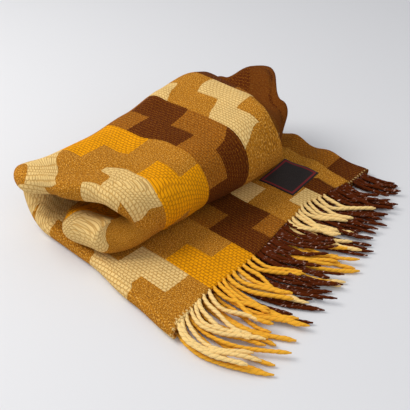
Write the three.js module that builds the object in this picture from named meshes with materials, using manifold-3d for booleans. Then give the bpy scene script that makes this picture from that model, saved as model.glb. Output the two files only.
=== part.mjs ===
// A fringed wool blanket, folded in three along its length and then folded over on itself.
// Millimetres, +Z up. The cloth lies on z = 0, its fringed hem faces +X and the hem runs along Y.
import * as THREE from 'three';
import * as BufferGeometryUtils from 'three/addons/utils/BufferGeometryUtils.js';
import Module from 'manifold-3d';

// Driving dimensions
const CLOTH = 4.5;
const PITCH = 6.6;
const HEM_X = -5;
const WRAP_RADIUS = 43;
const NOSE_RADIUS = 32.4;
const CORE_RADIUS = 10.8;
const FOLD_REACH = 28;
const HIDDEN_SELVEDGE = 26;
const ORIGIN = { x: -89.94, y: 137.9 };

// The section across the cloth: the top layer A, the fold at its left, the bottom layer B,
// the fold at its right and the middle layer C, with the steps that each takes.
const SECTION = { top: 8, leftFold: 7, bottom: 8, rightFold: 5, middle: 6 };

// The route of the stack of layers, from the hem inwards. A run goes straight on for its length,
// a bend is a quarter turn of its radius. At the end of each row: left is where the left fold lies
// in Y, flap is the free edge of layer A, right is the fold between B and C, inner and outer are
// how far the layers bulge at the left fold. The columns are named below the rows.
const ROUTE = [
  ['run', 0, 0, PITCH, -76, 296, 352, 0, 0],
  ['run', 65, 6, PITCH, -69, 304, 350, 1, 0],
  ['run', 90, 8, PITCH, -58, 300, 350, 1, 0],
  ['run', 80, 6, PITCH, -58, 314, 344, 4, 0],
  ['bend', WRAP_RADIUS, 5, 7, -54, 310, 296, 14, 4],
  ['bend', WRAP_RADIUS, 5, 7.4, -82, 298, 269, 17, 5],
  ['run', 42, 3, 7.4, -62, 338, 260, 16, 4],
  ['run', 54, 3, 7.4, -36, 268, 245, 13, 3],
  ['bend', NOSE_RADIUS, 5, 7.2, -14, 254, 245, 12, 2],
  ['bend', NOSE_RADIUS, 5, 7, -56, 270, 262, 17, 0],
  ['run', 44, 3, PITCH, -64, 284, 272, 15, 0],
  ['run', 36, 3, PITCH, -34, 296, 284, 1, 0],
  ['bend', CORE_RADIUS, 3, PITCH, 14, 300, 288, 0, 0],
  ['bend', CORE_RADIUS, 3, PITCH, 28, 304, 292, 0, 0],
  ['run', 62, 3, PITCH, 30, 304, 292, 0, 0],
  ['bend', CORE_RADIUS, 3, PITCH, 30, 306, 294, 0, 0],
  ['bend', CORE_RADIUS, 3, PITCH, 30, 308, 296, 0, 0],
  ['run', 82, 3, PITCH, 30, 306, 296, 0, 0],
].map(([kind, length, steps, pitch, left, flap, right, inner, outer]) => (
  { kind, length, steps, pitch, left, flap, right, inner, outer }
));

// How far the hem stands in or out along its length
const HEM_LINE = [
  { y: -78, x: 12 },
  { y: 0, x: 0 },
  { y: 80, x: 1 },
  { y: 170, x: -9 },
  { y: 214, x: -15 },
  { y: 252, x: -6 },
  { y: 300, x: 1 },
  { y: 352, x: 2 },
];

// How much higher the bundle stands along its width
const RISE_LINE = [
  { y: -80, factor: 1.04 },
  { y: -20, factor: 1 },
  { y: 45, factor: 0.99 },
  { y: 118, factor: 1.1 },
  { y: 183, factor: 1.23 },
  { y: 233, factor: 1.29 },
  { y: 280, factor: 1.16 },
  { y: 345, factor: 1.2 },
];
const RISE_FROM = 19;

// How far the bundle's front stands forward along its width
const FRONT_LINE = [
  { y: -80, forward: 0 },
  { y: 0, forward: 3 },
  { y: 75, forward: 9 },
  { y: 190, forward: 25 },
  { y: 300, forward: 25 },
];
const FRONT_SPAN = { from: -262, to: -120, floor: 17.5, above: 21 };

// Soft waves of the free edges on the floor: where each crest lies in X, how high and how wide it is
const FLAP_WAVES = [
  { x: -22, height: 1.5, width: 20 },
  { x: -66, height: 4, width: 18 },
  { x: -118, height: 6, width: 22 },
];
const FOLD_WAVES = [
  { x: -8, height: 2, width: 18 },
  { x: -70, height: 7, width: 20 },
  { x: -132, height: 11, width: 21 },
  { x: -190, height: 6, width: 22 },
];
const FLAP_LIFT_FROM = 60;
const FOLD_LIFT_FROM = 44;

// Where along the route, in its length from the hem, each of these sets in and how long it takes
const HEM_LINE_FADES = { from: 0, over: 110 };
const FLOOR_WAVES_FADE = { from: 200, over: 60 };
const FRONT_SETS_IN = { from: 240, over: 20 };
const FLARE_SETS_IN = { from: 330, over: 60 };
const FLARE_FADES = { from: 520, over: 60 };

// The flap of layer A that stands out past the bundle's right side
const FLARE = { clear: 12, reach: 46, height: 15 };

// The underside lies on the floor in the middle and on four feet, at these rows and columns of its
// grid. Elsewhere it stands off the floor by the rise, so that the part can't rock.
const FOOTING = { rise: 0.3, lastRow: 20, rows: [1, 19], columns: [0, 7] };
const FOOTING_MIDDLE = { rows: [3, 17], columns: [2, 6] };

// The label's place on layer A, its size and thickness
const LABEL = { x: -73, y: 247, length: 58, width: 68, thick: 0.8, gap: 0.6, turn: 0.06, steps: 8 };

// Fringe: a row for each layer that ends at the hem, from the floor up
const STRAND_STEPS = 4;
const BACKING = { gap: 0.45, width: 2.6, bite: 1.4, thick: 3.6 };
const FRINGES = [
  ['fringe_lower', 'bottom', -62, 340, 40, 'lower', 2.3, 3],
  ['fringe_middle', 'middle', -40, 338, 38, 'lower', 7.3, 11],
  ['fringe_top', 'top', -66, 292, 38, 'upper', 12.3, 23],
].map(([name, layer, from, to, count, column, rest, seed]) => (
  { name, layer, from, to, count, column, rest, seed }
));
const STRAND = { thick: 4.4, wide: 4.6, tip: 0.6, crown: 0.6, sinks: 1.6 };

// The strands' length and how far they lean to +Y, along the hem
const STRAND_LINE = [
  { y: -80, upper: 86, lower: 104, sweep: 0.02 },
  { y: 20, upper: 80, lower: 108, sweep: 0.12 },
  { y: 95, upper: 72, lower: 104, sweep: 0.3 },
  { y: 150, upper: 66, lower: 102, sweep: 0.36 },
  { y: 210, upper: 64, lower: 98, sweep: 0.16 },
  { y: 280, upper: 62, lower: 74, sweep: 0.2 },
  { y: 352, upper: 58, lower: 52, sweep: 0.3 },
];

const WOOL = new THREE.MeshStandardMaterial({ color: 0xb07628, roughness: 0.95, metalness: 0 });
const DARK_YARN = new THREE.MeshStandardMaterial({ color: 0x5a3020, roughness: 0.95, metalness: 0 });
const PALE_YARN = new THREE.MeshStandardMaterial({ color: 0xe6cb8c, roughness: 0.95, metalness: 0 });
const GOLD_YARN = new THREE.MeshStandardMaterial({ color: 0xdc9b26, roughness: 0.95, metalness: 0 });
const LABEL_WEAVE = new THREE.MeshStandardMaterial({ color: 0x2a2320, roughness: 0.7, metalness: 0 });
const FRINGE_MATERIAL = { fringe_lower: DARK_YARN, fringe_middle: GOLD_YARN, fringe_top: PALE_YARN };

const smooth = (t) => {
  const u = Math.min(1, Math.max(0, t));
  return u * u * (3 - 2 * u);
};

// A soft curve through a table's rows: column as a function of key
const along = (rows, key, column, value) => {
  const last = rows.length - 1;
  if (value <= rows[0][key]) return rows[0][column];
  if (value >= rows[last][key]) return rows[last][column];
  const next = rows.findIndex((row) => row[key] >= value);
  const before = rows[next - 1];
  const after = rows[next];
  const share = smooth((value - before[key]) / (after[key] - before[key]));
  return before[column] + (after[column] - before[column]) * share;
};

const waves = (rows, x) => rows.reduce(
  (sum, row) => sum + row.height * Math.exp(-(((x - row.x) / row.width) ** 2)),
  0,
);

// 0 before a stretch of the route and 1 after it
const past = (station, stretch) => smooth((station.distance - stretch.from) / stretch.over);

// Stations along the route: the middle of the stack in X and Z, its outward normal,
// and the row values there
const stations = () => {
  const list = [];
  const floorLevel = PITCH + CLOTH / 2;
  let place = { x: HEM_X, z: floorLevel };
  let heading = Math.PI;
  let travelled = 0;
  const inward = (angle) => ({ x: Math.sin(angle), z: -Math.cos(angle) });
  const keep = (x, z, angle, row, before, share, distance) => {
    const side = inward(angle);
    const mixed = {};
    for (const name of ['pitch', 'left', 'flap', 'right', 'inner', 'outer']) {
      mixed[name] = before[name] + (row[name] - before[name]) * smooth(share);
    }
    list.push({ x, z, outX: -side.x, outZ: -side.z, distance, ...mixed });
  };
  keep(place.x, place.z, heading, ROUTE[0], ROUTE[0], 1, 0);
  for (let index = 1; index < ROUTE.length; index += 1) {
    const row = ROUTE[index];
    const before = ROUTE[index - 1];
    const start = { ...place };
    const startHeading = heading;
    const bend = row.kind === 'bend';
    const arc = bend ? (row.length * Math.PI) / 2 : row.length;
    for (let step = 1; step <= row.steps; step += 1) {
      const share = step / row.steps;
      if (bend) {
        heading = startHeading - (share * Math.PI) / 2;
        const from = inward(startHeading);
        const to = inward(heading);
        place = {
          x: start.x + row.length * (from.x - to.x),
          z: start.z + row.length * (from.z - to.z),
        };
      } else {
        place = {
          x: start.x + Math.cos(startHeading) * row.length * share,
          z: start.z + Math.sin(startHeading) * row.length * share,
        };
      }
      keep(place.x, place.z, heading, row, before, share, travelled + arc * share);
    }
    travelled += arc;
  }
  return list;
};

// The middle of the cloth across the stack at one station: Y and the offset along the outward
// normal, as a list from layer A's free edge to layer C's hidden one
const section = (station) => {
  const { pitch, left, flap, right, inner, outer } = station;
  const half = pitch + (inner + outer) / 2;
  const foldY = left + half + CLOTH / 2;
  const bulge = (y) => Math.exp(-(((y - foldY) / FOLD_REACH) ** 2));
  const backRadius = pitch / 2;
  const backY = right - backRadius - CLOTH / 2;
  const points = [];
  for (let step = 0; step < SECTION.top; step += 1) {
    const y = flap + (foldY - flap) * (step / SECTION.top);
    points.push({ layer: 'top', y, offset: -(pitch + inner * bulge(y)) });
  }
  for (let step = 0; step < SECTION.leftFold; step += 1) {
    const angle = (step / SECTION.leftFold) * Math.PI;
    const offset = (outer - inner) / 2 - half * Math.cos(angle);
    points.push({ layer: 'leftFold', y: foldY - half * Math.sin(angle), offset });
  }
  for (let step = 0; step < SECTION.bottom; step += 1) {
    const y = foldY + (backY - foldY) * (step / SECTION.bottom);
    points.push({ layer: 'bottom', y, offset: pitch + outer * bulge(y) });
  }
  for (let step = 0; step < SECTION.rightFold; step += 1) {
    const angle = (step / SECTION.rightFold) * Math.PI;
    const offset = backRadius + backRadius * Math.cos(angle);
    points.push({ layer: 'rightFold', y: backY + backRadius * Math.sin(angle), offset });
  }
  for (let step = 0; step <= SECTION.middle; step += 1) {
    const y = backY + (foldY + HIDDEN_SELVEDGE - backY) * (step / SECTION.middle);
    points.push({ layer: 'middle', y, offset: 0 });
  }
  return points;
};

// Waves and flare of the free edges, as a change of the offset. The waves fade where the cloth
// leaves the floor, the flare is there only on the top of the bundle.
const edgeLift = (station, point) => {
  const onFloor = 1 - past(station, FLOOR_WAVES_FADE);
  const overTop = past(station, FLARE_SETS_IN) * (1 - past(station, FLARE_FADES));
  let lift = 0;
  if (point.layer === 'top') {
    const share = smooth((point.y - (station.flap - FLAP_LIFT_FROM)) / FLAP_LIFT_FROM);
    lift += onFloor * share * waves(FLAP_WAVES, station.x);
    lift -= overTop * FLARE.height * smooth((point.y - station.right - FLARE.clear) / FLARE.reach);
  } else if (point.layer !== 'leftFold') {
    const share = smooth((point.y - (station.right - FOLD_LIFT_FROM)) / FOLD_LIFT_FROM);
    lift += onFloor * share * waves(FOLD_WAVES, station.x);
  }
  return lift;
};

// The place of a point of the stack, with the hem's line, the bundle's rise and its front worked in
const place = (station, point) => {
  const offset = point.offset - edgeLift(station, point);
  const nearHem = 1 - past(station, HEM_LINE_FADES);
  const start = station.x + station.outX * offset + along(HEM_LINE, 'y', 'x', point.y) * nearHem;
  const level = station.z + station.outZ * offset;
  const high = smooth((level - FRONT_SPAN.floor) / (FRONT_SPAN.above - FRONT_SPAN.floor));
  const ahead = smooth((start - FRONT_SPAN.from) / (FRONT_SPAN.to - FRONT_SPAN.from));
  const bundle = past(station, FRONT_SETS_IN);
  const x = start + along(FRONT_LINE, 'y', 'forward', point.y) * high * ahead * bundle;
  const rise = along(RISE_LINE, 'y', 'factor', point.y);
  const z = level > RISE_FROM ? RISE_FROM + (level - RISE_FROM) * rise : level;
  return new THREE.Vector3(x, point.y, z);
};

// A closed shell of the given thickness about a grid of middle points
const shell = (grid, thick) => {
  const rows = grid.length;
  const columns = grid[0].length;
  const positions = [];
  const faces = [];
  const alongRow = new THREE.Vector3();
  const acrossRow = new THREE.Vector3();
  const normals = grid.map((line, row) => line.map((point, column) => {
    alongRow.subVectors(grid[Math.min(row + 1, rows - 1)][column], grid[Math.max(row - 1, 0)][column]);
    acrossRow.subVectors(line[Math.min(column + 1, columns - 1)], line[Math.max(column - 1, 0)]);
    return new THREE.Vector3().crossVectors(alongRow, acrossRow).normalize();
  }));
  for (const side of [0.5, -0.5]) {
    grid.forEach((line, row) => line.forEach((point, column) => {
      const moved = point.clone().addScaledVector(normals[row][column], side * thick);
      positions.push(moved.x, moved.y, moved.z);
    }));
  }
  const front = (row, column) => row * columns + column;
  const back = (row, column) => rows * columns + row * columns + column;
  for (let row = 0; row < rows - 1; row += 1) {
    for (let column = 0; column < columns - 1; column += 1) {
      const ring = [[row, column], [row + 1, column], [row + 1, column + 1], [row, column + 1]];
      const [a, b, c, d] = ring.map((pair) => front(...pair));
      const [e, f, g, h] = ring.map((pair) => back(...pair));
      faces.push(a, b, c, a, c, d, e, g, f, e, h, g);
    }
  }
  const wall = (from, to) => {
    const [a, b] = [front(...from), front(...to)];
    const [c, d] = [back(...to), back(...from)];
    faces.push(a, c, b, a, d, c);
  };
  for (let row = 0; row < rows - 1; row += 1) {
    wall([row, 0], [row + 1, 0]);
    wall([row + 1, columns - 1], [row, columns - 1]);
  }
  for (let column = 0; column < columns - 1; column += 1) {
    wall([0, column + 1], [0, column]);
    wall([rows - 1, column], [rows - 1, column + 1]);
  }
  const geometry = new THREE.BufferGeometry();
  geometry.setAttribute('position', new THREE.Float32BufferAttribute(positions, 3));
  geometry.setIndex(faces);
  return geometry;
};

const ROUTE_STATIONS = stations();

// Raises the underside off the floor, apart from its middle and its four feet
const stand = (geometry) => {
  const { position } = geometry.attributes;
  const columns = section(ROUTE_STATIONS[0]).length;
  const firstColumn = SECTION.top + SECTION.leftFold;
  const within = (value, [low, high]) => value >= low && value <= high;
  for (let row = 0; row <= FOOTING.lastRow; row += 1) {
    for (let column = 0; column <= SECTION.bottom; column += 1) {
      const index = row * columns + firstColumn + column;
      const foot = FOOTING.rows.includes(row) && FOOTING.columns.includes(column);
      const middle = within(row, FOOTING_MIDDLE.rows) && within(column, FOOTING_MIDDLE.columns);
      const level = position.getZ(index);
      if (!foot && !middle && level < FOOTING.rise) position.setZ(index, level + FOOTING.rise);
    }
  }
  return geometry;
};

const blanketGeometry = () => {
  const grid = ROUTE_STATIONS.map((station) => section(station).map((point) => place(station, point)));
  return stand(shell(grid, CLOTH));
};

// A station of the floor run at any distance from the hem, mixed from its neighbours
const stationAt = (x) => {
  const floorRun = ROUTE_STATIONS.filter((station) => station.outZ < -0.999 && station.z < 2 * PITCH);
  const next = Math.max(1, floorRun.findIndex((station) => station.x <= x));
  const [before, after] = [floorRun[next - 1], floorRun[next]];
  const share = (before.x - x) / (before.x - after.x);
  const mixed = {};
  for (const name of Object.keys(before)) {
    mixed[name] = before[name] + (after[name] - before[name]) * share;
  }
  return mixed;
};

// The height of a layer's middle on the floor run
const layerHeight = (layer, x, y) => {
  const station = stationAt(Math.min(HEM_X, x));
  const offset = { top: -station.pitch, middle: 0, bottom: station.pitch }[layer];
  return station.z - offset + edgeLift(station, { layer, y });
};

const labelGeometry = () => {
  const grid = [];
  for (let row = 0; row <= LABEL.steps; row += 1) {
    const line = [];
    for (let column = 0; column <= LABEL.steps; column += 1) {
      const down = LABEL.length * (0.5 - row / LABEL.steps);
      const across = LABEL.width * (0.5 - column / LABEL.steps);
      const x = LABEL.x + down * Math.cos(LABEL.turn) - across * Math.sin(LABEL.turn);
      const y = LABEL.y + across * Math.cos(LABEL.turn) + down * Math.sin(LABEL.turn);
      const z = layerHeight('top', x, y) + CLOTH / 2 + LABEL.gap + LABEL.thick / 2;
      line.push(new THREE.Vector3(x, y, z));
    }
    grid.push(line);
  }
  return shell(grid, LABEL.thick);
};

const wasm = await Module();
wasm.setup();

const toSolid = (geometry) => {
  const bare = geometry.clone();
  bare.deleteAttribute('normal');
  bare.deleteAttribute('uv');
  const merged = BufferGeometryUtils.mergeVertices(bare, 1e-4);
  return new wasm.Manifold(new wasm.Mesh({
    numProp: 3,
    vertProperties: new Float32Array(merged.attributes.position.array),
    triVerts: new Uint32Array(merged.index.array),
  }));
};

const toGeometry = (solid) => {
  const mesh = solid.getMesh();
  const geometry = new THREE.BufferGeometry();
  geometry.setAttribute('position', new THREE.BufferAttribute(new Float32Array(mesh.vertProperties), 3));
  geometry.setIndex(new THREE.BufferAttribute(new Uint32Array(mesh.triVerts), 1));
  return geometry;
};

// A repeatable spread of values between 0 and 1
const spread = (seed) => {
  let state = seed * 7919 + 17;
  return () => {
    state = (state * 16807) % 2147483647;
    return state / 2147483647;
  };
};

// The middle of one layer's hem: the section's own points at the first station, up to where
// its fold starts, in order of Y
const hemEdge = (layer) => {
  const [station] = ROUTE_STATIONS;
  const all = section(station);
  const points = all.filter((point, index) => point.layer === layer || all[index - 1]?.layer === layer);
  return points.map((point) => place(station, point)).sort((a, b) => a.y - b.y);
};

const onEdge = (edge, y) => {
  const beyond = edge.findIndex((point) => point.y >= y);
  const next = beyond < 0 ? edge.length - 1 : Math.max(1, beyond);
  const [before, after] = [edge[next - 1], edge[next]];
  const share = (y - before.y) / (after.y - before.y);
  return new THREE.Vector3().lerpVectors(before, after, share);
};

// A prism of a closed ring of points carried along a list of frames
const prism = (rings) => {
  const sides = rings[0].length;
  const positions = rings.flat().flatMap((point) => [point.x, point.y, point.z]);
  const faces = [];
  for (let ring = 0; ring < rings.length - 1; ring += 1) {
    for (let side = 0; side < sides; side += 1) {
      const a = ring * sides + side;
      const b = ring * sides + ((side + 1) % sides);
      faces.push(a, b, b + sides, a, b + sides, a + sides);
    }
  }
  const end = (rings.length - 1) * sides;
  for (let side = 1; side < sides - 1; side += 1) {
    faces.push(0, side + 1, side);
    faces.push(end, end + side, end + side + 1);
  }
  const geometry = new THREE.BufferGeometry();
  geometry.setAttribute('position', new THREE.Float32BufferAttribute(positions, 3));
  geometry.setIndex(faces);
  return geometry;
};

// A strand leaves the hem level with its layer, sinks to its resting level and runs out over
// the floor, swept a little to one side
const strandGeometry = (fringe, edge, y, length, sweep) => {
  const root = onEdge(edge, y);
  const startX = root.x + BACKING.gap + BACKING.width - BACKING.bite;
  const startZ = root.z;
  const rings = [];
  for (let step = 0; step <= STRAND_STEPS; step += 1) {
    const share = step / STRAND_STEPS;
    const size = share < 1 ? 1 : STRAND.tip;
    const middle = new THREE.Vector3(
      startX + length * share,
      y + sweep * length * share * share,
      startZ + (fringe.rest - startZ) * smooth(share * STRAND.sinks),
    );
    const half = (STRAND.wide / 2) * size;
    const high = (STRAND.thick / 2) * size;
    const low = STRAND.thick / 2;
    rings.push([
      new THREE.Vector3(middle.x, middle.y - half, middle.z - low),
      new THREE.Vector3(middle.x, middle.y + half, middle.z - low),
      new THREE.Vector3(middle.x, middle.y + half * STRAND.crown, middle.z + high),
      new THREE.Vector3(middle.x, middle.y - half * STRAND.crown, middle.z + high),
    ]);
  }
  return prism(rings);
};

const backingGeometry = (edge, from, to) => {
  const inner = edge.filter((point) => point.y > from && point.y < to);
  const half = BACKING.thick / 2;
  const rings = [onEdge(edge, from), ...inner, onEdge(edge, to)].map((point) => {
    const near = point.x + BACKING.gap;
    const far = near + BACKING.width;
    return [
      new THREE.Vector3(near, point.y, point.z - half),
      new THREE.Vector3(near, point.y, point.z + half),
      new THREE.Vector3(far, point.y, point.z + half),
      new THREE.Vector3(far, point.y, point.z - half),
    ];
  });
  return prism(rings);
};

const fringeGeometry = (fringe) => {
  const random = spread(fringe.seed);
  const edge = hemEdge(fringe.layer);
  const margin = STRAND.wide;
  let solid = toSolid(backingGeometry(edge, fringe.from - margin, fringe.to + margin));
  for (let index = 0; index < fringe.count; index += 1) {
    const y = fringe.from + (fringe.to - fringe.from) * (index / (fringe.count - 1));
    const length = along(STRAND_LINE, 'y', fringe.column, y) * (0.9 + 0.2 * random());
    const strand = strandGeometry(fringe, edge, y, length, along(STRAND_LINE, 'y', 'sweep', y));
    solid = solid.add(toSolid(strand));
  }
  return toGeometry(solid);
};

const piece = (name, geometry, material) => {
  const mesh = new THREE.Mesh(geometry, material);
  mesh.name = name;
  mesh.position.set(-ORIGIN.x, -ORIGIN.y, 0);
  return mesh;
};

const group = new THREE.Group();
group.add(piece('blanket', blanketGeometry(), WOOL));
group.add(piece('label', labelGeometry(), LABEL_WEAVE));
for (const fringe of FRINGES) {
  group.add(piece(fringe.name, fringeGeometry(fringe), FRINGE_MATERIAL[fringe.name]));
}

export default group;
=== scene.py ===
"""A folded wool throw with three rows of fringe and a bare woven label, drawn on its CAD solids.

Lengths in the tables are millimetres in the photo's frame: X runs along the cloth from its hem, with the
cloth on the minus side, Y runs across it and Z is up. to_scene() moves them to the part's frame in metres.
"""
import math
from functools import partialmethod
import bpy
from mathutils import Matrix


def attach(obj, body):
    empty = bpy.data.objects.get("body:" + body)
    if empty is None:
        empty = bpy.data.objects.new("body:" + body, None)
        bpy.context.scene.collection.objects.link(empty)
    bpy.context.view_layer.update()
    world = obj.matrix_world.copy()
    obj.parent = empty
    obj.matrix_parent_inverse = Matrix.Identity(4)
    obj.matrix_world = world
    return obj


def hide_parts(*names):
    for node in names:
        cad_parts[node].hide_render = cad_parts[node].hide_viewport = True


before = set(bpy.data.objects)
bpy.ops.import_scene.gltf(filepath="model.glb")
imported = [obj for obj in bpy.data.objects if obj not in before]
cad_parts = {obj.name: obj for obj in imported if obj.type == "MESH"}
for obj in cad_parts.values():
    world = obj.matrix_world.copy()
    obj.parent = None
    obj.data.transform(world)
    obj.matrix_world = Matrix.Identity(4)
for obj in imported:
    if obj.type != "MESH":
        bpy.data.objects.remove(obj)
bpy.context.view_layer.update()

from types import SimpleNamespace

import bpy
import numpy as np

bl_info = {
    "name": "Folded wool throw",
    "version": (1, 0, 0),
    "blender": (4, 5, 0),
    "location": "View3D > Sidebar > Throw",
    "description": "Builds a folded wool throw with a stepped weave, a fringe and a woven label",
    "category": "Object",
}

# The part's origin in the photo's frame, x and y.
ORIGIN = (-89.94, 137.9)
# One layer's thickness, and the pitch of the layers where they lie flat.
CLOTH = 4.5
PITCH = 6.6
# How far the cloth's rounded edge stands out, in half thicknesses, and the lowest height of its skin.
ROUNDED_EDGE = 0.7
CLOTH_FLOOR = 0.1
# The hem's x, and the middle radii of the turn at the back, of the nose at the front and of hidden turns.
HEM_X = -5.0
WRAP_RADIUS = 43.0
NOSE_RADIUS = 32.4
CORE_RADIUS = 10.8
# How far in from the left fold its swelling reaches, and how far short of it the middle layer ends.
FOLD_REACH = 28.0
HIDDEN_SELVEDGE = 26.0

# The way of the cloth's middle line from its hem. Bends are quarter turns over the top.
ROUTE_COLUMNS = ("pitch", "left", "flap", "right", "inner", "outer")
ROUTE = (
    # kind, length or radius, steps, pitch, y of the left fold, of the top layer's edge and of the right fold,
    # swelling of the left fold on its inner and on its outer side
    ("run", 0.0, 0, PITCH, -76, 296, 352, 0, 0),
    ("run", 65.0, 18, PITCH, -69, 304, 350, 1, 0),
    ("run", 90.0, 24, PITCH, -58, 300, 350, 1, 0),
    ("run", 80.0, 22, PITCH, -58, 314, 344, 4, 0),
    ("bend", WRAP_RADIUS, 22, 7.0, -54, 310, 296, 12, 4),
    ("bend", WRAP_RADIUS, 22, 7.4, -82, 298, 269, 4, 5),
    ("run", 42.0, 14, 7.4, -62, 338, 260, 0, 4),
    ("run", 54.0, 18, 7.4, -34, 284, 245, 2, 3),
    ("bend", NOSE_RADIUS, 20, 7.2, -14, 254, 245, 20, 2),
    ("bend", NOSE_RADIUS, 20, 7.0, -56, 270, 262, 25, 0),
    ("run", 44.0, 9, PITCH, -64, 284, 272, 24, 0),
    ("run", 36.0, 8, PITCH, -34, 296, 284, 1, 0),
    ("bend", CORE_RADIUS, 5, PITCH, 14, 300, 288, 0, 0),
    ("bend", CORE_RADIUS, 5, PITCH, 28, 304, 292, 0, 0),
    ("run", 62.0, 5, PITCH, 30, 304, 292, 0, 0),
    ("bend", CORE_RADIUS, 5, PITCH, 30, 306, 294, 0, 0),
    ("bend", CORE_RADIUS, 5, PITCH, 30, 308, 296, 0, 0),
    ("run", 82.0, 5, PITCH, 30, 306, 296, 0, 0),
)
# The section's columns, layer by layer.
SECTION_COUNTS = (72, 30, 72, 10, 28)
TOP, LEFT, BOTTOM, RIGHT, MIDDLE = range(5)

# Where one form eases into the next: a start and a length of the distance travelled from the hem.
HEM_SHIFT_ENDS = (0, 110)
RELIEF_BEGINS = (0, 40)
FLOOR_END = (200, 60)
WARPS_CHANGE = (230, 60)
FRONT_BEGINS = (240, 20)
FLARE_BEGINS = (330, 60)
FLARE_ENDS = (520, 60)
PULLS_BEGIN = (285, 20)
ROLL_FROM = 300
ROLL_WEAVE_BEGINS = (ROLL_FROM, 30)
# The roll's front moves forward where it is high and near: a start and a length in z and in x.
FRONT_HEIGHT = (17.5, 3.5)
FRONT_AHEAD = (-262, 142)

# y, shift of the hem in x
HEM_LINE = ((-78, 12), (0, 0), (80, 1), (170, -9), (214, -15), (252, -6), (300, 1), (352, 2))
# y, times the height above RISE_FROM
RISE_FROM = 19.0
RISE_LINE = ((-80, 1.04), (-20, 1), (45, 0.99), (118, 1.1), (183, 1.23), (233, 1.29), (280, 1.16), (345, 1.2))
# y, shift of the roll's front in x
FRONT_LINE = ((-80, 0), (0, 3), (75, 9), (190, 25), (300, 25))
# Waves of the top layer's edge and of the right fold on the floor: x, height, width
FLAP_WAVES = ((-22, 1.5, 20), (-66, 4, 18), (-118, 6, 22))
FOLD_WAVES = ((-8, 2, 18), (-70, 7, 20), (-132, 11, 21), (-190, 6, 22))
FLAP_LIFT_FROM = 60.0
FOLD_LIFT_FROM = 44.0
# The top layer flares up behind the roll, starting clear of the right fold.
FLARE_CLEAR = 12.0
FLARE_REACH = 46.0
FLARE_HEIGHT = 20.0
# The roll's right end is tucked in under its front.
TUCK = {"at": 492.0, "width": 34.0, "depth": 20.0}

# Warp colours from a cell on, counted from the cloth's left fold, the same way on both sides of it.
WARP_BANDS = ((0, "cream"), (2, "mustard"), (4, "dark"), (6, "cream"), (8, "dark"))
# A cell of the pattern, and the warp coordinate of the floor's top layer where y is 0.
CELL = 40.0
FIRST_WARP = 78.0
# Blocks are one cell wide and two long and repeat every four cells along the cloth. Each column's blocks
# start one cell on from its neighbour's, and the steps turn back at these columns.
BLOCK_REPEAT = 4.0
FLAT_TURN = {"column": 3, "start": -1.0}
ROLL_TURN = {"column": 4, "start": 2.55}
# On the roll's front the warps lean to the right.
LEAN = {"width": 24.0, "distance": (405.0, 40.0), "fades": (30.0, 130.0)}
# Where the ground shows alone: under the roll's front and at its right end, and along the selvedge on the
# floor, where only the hem's end of the folded edge is dark. Across is in cells.
PLAIN_GROUND = {"from": 519.0, "to": 548.0, "across": 1.7}
PLAIN_END = {"from": 508.0, "across": 6.3}
PLAIN_SELVEDGE = {"across": 8.7, "hem": 46.0, "shown": 7.9}
# The flap behind the roll: brown with one dark block that ends on a slant, and a step along its free edge,
# with a dark line of painted shade along that step.
FLAP = {"from": 330.0, "inside": 30.0, "across": 9.4, "y": 300.0, "dark_to": 406.0, "slant": 0.6}
# The rim's width, the half width of its line of painted shade, the step's height and the length it eases
# over.
FLAP_RIM = {"width": 12.0, "gap": 2.2, "step": 4.0, "over": 3.0}
# The left end is tucked in, which pulls the weave out of square. All is in cells. A reach is how far from
# the left fold the pull is felt, on its outer and on its inner side.
FOLD_PULLS = (
    # along, moved along, moved across, outer reach, inner reach, moved along on the inner side
    (8.5, -0.3, -0.1, 2.6, 1.0, 0.0),
    (9.5, -2.3, -0.9, 2.2, 1.0, 0.0),
    (10.3, -3.4, -1.4, 1.8, 1.0, 0.0),
    (11.3, -3.4, -0.9, 1.8, 1.0, 0.0),
    (12.0, -2.7, -0.6, 1.9, 1.0, 0.0),
    (13.0, -2.1, -0.4, 2.2, 1.0, 0.0),
    (14.0, -1.7, -0.3, 3.6, 1.0, 0.0),
    (15.5, -1.9, -0.1, 4.0, 1.0, 0.0),
    (16.2, -1.0, 0.9, 3.0, 1.4, -0.2),
    (17.0, -0.1, 1.2, 1.4, 1.8, -0.5),
    (18.3, -0.1, 0.9, 1.4, 1.8, -1.5),
    (19.2, -0.7, 1.9, 2.0, 1.8, -1.6),
    (20.0, -1.1, 2.6, 2.2, 1.8, -0.8),
    (21.0, 0.0, 0.0, 2.2, 1.8, 0.0),
)
# Where the inner reach and the move along on the inner side begin, in from the fold.
INNER_PULL_FROM = 0.5
INNER_SHIFT_FROM = 0.3
# The tucked right end pulls it too.
RIGHT_PULL = {"along": 16.4, "across": -7.4, "moved": -1.0, "width": 1.2}

# Soft creases: a ridge is plus, a trough minus. They run between two places on one layer.
CREASES = (
    # layer, distance and y at the start, distance and y at the end, height, width
    (BOTTOM, 395, -20, 470, 40, -2.6, 15),
    (BOTTOM, 410, 190, 470, 240, 2.0, 16),
    (BOTTOM, 360, 60, 385, 190, -1.6, 14),
    (BOTTOM, 500, 20, 520, 120, 1.6, 14),
    (TOP, 60, 150, 150, 190, 1.2, 16),
    (TOP, 20, 30, 130, 60, -0.8, 14),
)

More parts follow.
